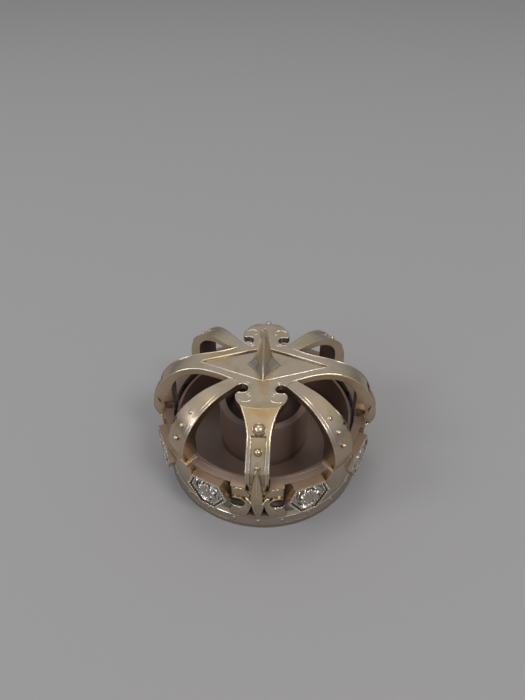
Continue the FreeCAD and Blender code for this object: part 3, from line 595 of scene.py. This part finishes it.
def coveRing(c):
    verts, faces, n, rows = [], [], c["around"], c["rows"] + 2
    for k in range(n):
        angle = 360 * k / n
        off = abs((angle + 45) % 90 - 45)
        rise = c["rise"] * float(np.interp(off, (c["tailsTo"], c["fullFrom"]),
                                           (c["underTails"], 1.0)))
        profile = []
        for i in range(c["rows"] + 1):
            part = i / c["rows"]
            profile.append((c["band"] + (c["lip"] - c["band"]) * part ** c["sweep"],
                            c["lipHeight"] + rise * (1 - part) ** c["fall"]))
        for r, z in profile + [c["under"]]:
            verts.append(turnAbout((0, -r, z), angle) * mm)
        for i in range(rows - 1):
            a, b = k * rows + i, ((k + 1) % n) * rows + i
            faces.append((a, a + 1, b + 1, b))
    underLip = range(rows - 2, len(faces), rows - 1)
    reliefMesh("bandCove", verts, faces, bright, sharp=underLip)


spireSkin(spire)
spireCrests(spire)
bandRings(spire)
coveRing(cove)
print("plate, arms and spire done")

# Ridges on the four fleurs of the band, right half in distance from the middle and height
fleurRelief = {
    "petal": [(1.5, 10.9), (1.75, 12.0), (2.5, 13.2), (3.6, 13.75), (4.6, 13.3), (4.95, 12.2),
              (4.95, 10.9)],
    "eye": [(4.3, 10.6), (3.1, 10.4), (2.25, 9.3), (2.35, 8.0), (3.3, 7.15), (4.6, 7.2),
            (5.6, 8.1)],
    "eyeRadius": 0.2, "eyeProud": 0.28,
    "tail": [(1.9, 8.9), (2.1, 7.6), (2.9, 6.2), (4.0, 5.0), (5.3, 4.1)],
    "stem": [(0.9, 8.9), (0.85, 7.8), (0.6, 6.0), (0.3, 4.6), (0.05, 3.9)],
    "radius": 0.13,
    "rib": (11.2, 20.2, 0.17),       # midrib of the belly: from, to and radius
    "ribMost": 24.6,                 # mm from the axis, so that it stays in the moulding's box
}


def onFleur(x, z, proud=0.0):
    (r0, z0), (r1, z1) = shell["fleurFoot"], shell["fleurTop"]
    r = r0 + (r1 - r0) * (z - z0) / (z1 - z0) + proud
    return x, -math.sqrt(r ** 2 - x ** 2), z


def onBelly(z):
    # Distance of the belly's crest: two arcs, as in the CAD model
    lower, upper = shell["bellyArcs"]
    x, y, size = circleThrough(*(lower if z < lower[2][1] else upper))
    return x + math.sqrt(size ** 2 - (z - y) ** 2)


def fleurRidges(f):
    lines = []
    for turn in quarterTurns:
        for word in ("petal", "eye", "tail", "stem"):
            proud, radius = 0, f["radius"]
            if word == "eye":
                proud, radius = f["eyeProud"], f["eyeRadius"]
            for side in (1, -1):
                path = smoothPath([onFleur(side * x, z, proud) for x, z in f[word]])
                lines.append(([turnAbout(q, turn) for q in path], radius, 0.6))
        low, high, radius = f["rib"]
        rib = [(0, -min(onBelly(z), f["ribMost"]), z) for z in np.linspace(low, high, 24)]
        lines.append(([turnAbout(q, turn) for q in rib], radius, 0.8))
    ridges("fleurRidges", lines, bright)


# Strap of three bars that passes in front of the middle petal's foot
strap = {
    "half": 2.4, "low": 9.05, "high": 10.75,        # mm
    "overPetal": 0.14, "petalHalf": 0.75, "slope": 1.6,
    "proud": 0.02, "bars": 3, "groove": 0.13, "fullness": 0.35,
    "edge": 0.4,                                    # mm that its edges dip into the moulding
    "steps": (48, 42),
}


def collarStraps(s):
    across, up = s["steps"]
    verts, faces = [], []
    for turn in quarterTurns:
        first = len(verts)
        for i in range(across + 1):
            x = s["half"] * (2 * i / across - 1)
            near = min(1.0, max(0.0, abs(x) - s["petalHalf"]) / s["slope"])
            for k in range(up + 1):
                z = s["low"] + (s["high"] - s["low"]) * k / up
                flush = -onFleur(0, z, shell["collarProud"])[1]
                crest = max(0.0, onBelly(max(z, shell["bellyArcs"][0][0][1])) - flush)
                bulge = (crest + s["overPetal"]) * (1 - near ** 2 * (3 - 2 * near))
                wave = abs(math.sin(math.pi * s["bars"] * k / up)) ** s["fullness"]
                end = s["edge"] if k in (0, up) or i in (0, across) else 0
                proud = shell["collarProud"] + bulge + s["proud"] - s["groove"] * (1 - wave) - end
                verts.append(turnAbout(onFleur(x, z, proud), turn) * mm)
        for i in range(across):
            for k in range(up):
                a = first + i * (up + 1) + k
                faces.append((a, a + up + 1, a + up + 2, a + 1))
    reliefMesh("collarStraps", verts, faces, gold)


fleurRidges(fleurRelief)
collarStraps(strap)
print("fleurs done")

# Medallions: a plain rosette with scrolls and a beaded border in each block's field
medallion = {
    "outline": [(-1.6, -4.0), (1.6, -4.0), (4.1, 0.0), (2.9, 3.0), (-2.9, 3.0), (-4.1, 0.0)],
    "step": 0.06,          # mm between the relief's points
    "petals": 6, "petalReach": 1.9, "petalSwing": 0.5, "petalHeight": 0.4, "petalSlope": 0.3,
    "dome": 0.42, "domeAt": 1.5, "domeSpread": 0.5,
    "vein": 0.16, "veinDepth": 0.3, "veinFrom": 0.9,
    "scrolls": 6, "scrollPitch": 1.15, "scrollHeight": 0.5, "scrollFullness": 0.6,
    "scrollGap": 0.1, "scrollInset": 0.55,          # from the petals and from the outline
    "beadSpacing": 0.62, "beadInset": 0.42, "bead": 0.25,
    "ground": 0.02, "skirt": 0.03,                  # over the field, and tucked in at its edge
    "frame": [(-1.68, -4.26), (1.68, -4.26), (4.38, 0.0), (3.04, 3.3), (-3.04, 3.3),
              (-4.38, 0.0)],
    "frameSpacing": 0.5, "frameBead": 0.21, "frameSink": 0.04,
}


def edgeDistance(outline, u, v):
    # Distance inside the outline, negative outside
    inside = np.full(u.shape, 1e9)
    for (x0, y0), (x1, y1) in zip(outline, outline[1:] + outline[:1]):
        length = math.hypot(x1 - x0, y1 - y0)
        away = ((x1 - x0) * (v - y0) - (y1 - y0) * (u - x0)) / length
        inside = np.minimum(inside, away)
    return inside


def medallionHeight(m, u, v):
    inside = edgeDistance(m["outline"], u, v)
    r, angle = np.hypot(u, v), np.arctan2(v, u)
    lobe = np.abs(np.cos(m["petals"] / 2 * (angle - math.pi / m["petals"])))
    edge = m["petalReach"] + m["petalSwing"] * lobe
    rise = np.clip((edge - r) / m["petalSlope"], 0, 1)
    dome = m["dome"] * lobe * np.exp(-((r - m["domeAt"]) / m["domeSpread"]) ** 2)
    off = r * np.sqrt(np.clip(1 - lobe ** 2, 0, 1)) / (m["petals"] / 2)
    vein = m["veinDepth"] * np.exp(-(off / m["vein"]) ** 2) * np.clip((r - m["veinFrom"]) / 0.3, 0, 1)
    petal = rise * (m["petalHeight"] + dome - vein)
    wave = np.cos(m["scrolls"] * angle + 2 * math.pi * r / m["scrollPitch"])
    scroll = m["scrollHeight"] * np.clip(wave, 0, 1) ** m["scrollFullness"]
    scroll *= np.clip((r - edge - m["scrollGap"]) / 0.25, 0, 1)
    scroll *= np.clip((inside - m["scrollInset"]) / 0.3, 0, 1)
    beads = np.zeros(u.shape)
    outline = m["outline"]
    for (x0, y0), (x1, y1) in zip(outline, outline[1:] + outline[:1]):
        length = math.hypot(x1 - x0, y1 - y0)
        nx, ny = -(y1 - y0) / length, (x1 - x0) / length
        count = max(2, round(length / m["beadSpacing"]))
        for i in range(count):
            part = (i + 0.5) / count
            cx = x0 + (x1 - x0) * part + nx * m["beadInset"]
            cy = y0 + (y1 - y0) * part + ny * m["beadInset"]
            near = np.hypot(u - cx, v - cy)
            beads = np.maximum(beads, np.sqrt(np.clip(m["bead"] ** 2 - near ** 2, 0, None)))
    return np.maximum.reduce([petal, scroll, beads]) + m["ground"], inside


def onBlock(u, v, out, turn):
    return turnAbout((u, -out, v + shell["blockMid"]), turn)


def beadedFrames(m):
    # Row of beads on the rim of every block
    balls = bmesh.new()
    outline = m["frame"]
    for quarter in quarterTurns:
        for side in (-1, 1):
            turn = quarter + side * shell["blockAngle"]
            for (x0, y0), (x1, y1) in zip(outline, outline[1:] + outline[:1]):
                count = round(math.hypot(x1 - x0, y1 - y0) / m["frameSpacing"])
                for i in range(count):
                    u, v = x0 + (x1 - x0) * i / count, y0 + (y1 - y0) * i / count
                    where = onBlock(u, v, shell["blockFace"] - m["frameSink"], turn) * mm
                    bmesh.ops.create_icosphere(balls, subdivisions=2, radius=m["frameBead"] * mm,
                                               matrix=Matrix.Translation(where))
    for face in balls.faces:
        face.smooth = True
    mesh = bpy.data.meshes.new("frameBeads")
    balls.to_mesh(mesh)
    balls.free()
    addRelief("frameBeads", mesh, silver)


def medallionRelief(m):
    # Relief as a fine sheet that fills the sunk field of every block
    low, high = np.min(m["outline"], axis=0), np.max(m["outline"], axis=0)
    us, vs = [np.arange(low[k] - 0.05, high[k] + 0.06, m["step"]) for k in (0, 1)]
    u, v = np.meshgrid(us, vs)
    height, inside = medallionHeight(m, u, v)
    height = np.where(inside < m["skirt"], -m["skirt"], height)
    kept = inside > -m["step"]
    index = np.full(u.shape, -1)
    index[kept] = np.arange(kept.sum())
    corners = [index[:-1, :-1], index[:-1, 1:], index[1:, 1:], index[1:, :-1]]
    whole = np.all([c >= 0 for c in corners], axis=0)
    faces = np.stack([c[whole] for c in corners], axis=1)
    verts, quads = [], []
    for quarter in quarterTurns:
        for side in (-1, 1):
            turn = math.radians(quarter + side * shell["blockAngle"])
            out = shell["fieldFace"] + height[kept]
            along = u[kept]
            x = along * math.cos(turn) + out * math.sin(turn)
            y = along * math.sin(turn) - out * math.cos(turn)
            quads.append(faces + sum(len(b) for b in verts))
            verts.append(np.stack([x, y, v[kept] + shell["blockMid"]], axis=1) * mm)
    quads = np.concatenate(quads).tolist()
    reliefMesh("medallionRelief", np.concatenate(verts).tolist(), quads, silver)
    print("medallions done:", len(quads), "faces")


medallionRelief(medallion)
beadedFrames(medallion)

# Floor, lamps and world
floor = {
    "colour": "#999796", "size": 6.0, "roughness": 0.8,    # size in metres
    "teeth": 0.9, "toothDepth": 0.05,                      # paper texture in a mm, and in mm
}


def card(name, m):
    # Matt paper card under the object, which spreads the light from below
    material, tree = newMaterial("mattCard")
    spot = addNode(tree, "TexCoord").outputs["Object"]
    tooth = addNode(tree, "TexNoise", {"Scale": m["teeth"] / mm, "Detail": 3.0},
                    {"Vector": spot})
    bump = addNode(tree, "Bump", {"Strength": 0.05, "Distance": m["toothDepth"] * mm},
                   {"Height": tooth.outputs["Fac"]}).outputs["Normal"]
    shader = addNode(tree, "BsdfPrincipled", {"Base Color": hexColour(m["colour"]),
                                              "Roughness": m["roughness"]}, {"Normal": bump})
    addNode(tree, "OutputMaterial", None, {"Surface": shader.outputs[0]})
    mesh = bpy.data.meshes.new(name)
    half = m["size"] / 2
    mesh.from_pydata([(-half, -half, 0), (half, -half, 0), (half, half, 0), (-half, half, 0)],
                     [], [(0, 1, 2, 3)])
    mesh.materials.append(material)
    place(name, mesh)


lamps = {
    # name: place in mm, size in mm, watts, colour
    "right": ((460, -420, 760), 260, 2.7, "#ffffff"),
    "left": ((-640, -200, 560), 240, 1.3, "#ffffff"),
    "top": ((-120, 300, 950), 300, 0.9, "#ffffff"),
    "window": ((-440, -540, 380), 170, 0.75, "#cfdfff"),
}
sky = {
    "aim": 12,                           # mm above the table, where the lamps point
    "from": -0.2, "to": 0.9,             # sine of the height over which the sky brightens
    "dim": 0.14, "bright": 0.8,
    "cool": "#dfe6f3", "warm": "#f5e9d8", "warmFrom": 0.7, "warmTo": 0.98,
}


def lightUp(sources, s):
    for name, (where, size, watts, colour) in sources.items():
        data = bpy.data.lights.new(name, "AREA")
        data.size, data.energy, data.color = size * mm, watts, hexColour(colour)[:3]
        obj = place(name, data)
        obj.location = Vector(where) * mm
        aim = Vector((0, 0, s["aim"])) * mm - obj.location
        obj.rotation_euler = aim.to_track_quat("-Z", "Y").to_euler()
    world = bpy.data.worlds.new("studio")
    world.use_nodes = True
    tree = world.node_tree
    up = addNode(tree, "SeparateXYZ", None,
                 {0: addNode(tree, "TexCoord").outputs["Generated"]}).outputs["Z"]
    level = addNode(tree, "MapRange", {"From Min": s["from"], "From Max": s["to"],
                                       "To Min": s["dim"], "To Max": s["bright"]},
                    {"Value": up}).outputs["Result"]
    warm = addNode(tree, "MapRange", {"From Min": s["warmFrom"], "From Max": s["warmTo"]},
                   {"Value": up}).outputs["Result"]
    shade = addNode(tree, "Mix", {"data_type": "RGBA", 6: hexColour(s["cool"]),
                                  7: hexColour(s["warm"])}, {0: warm}).outputs[2]
    tree.links.new(shade, tree.nodes["Background"].inputs["Color"])
    tree.links.new(level, tree.nodes["Background"].inputs["Strength"])
    bpy.context.scene.world = world


card("floor", floor)
lightUp(lamps, sky)
print("floor and lamps done")
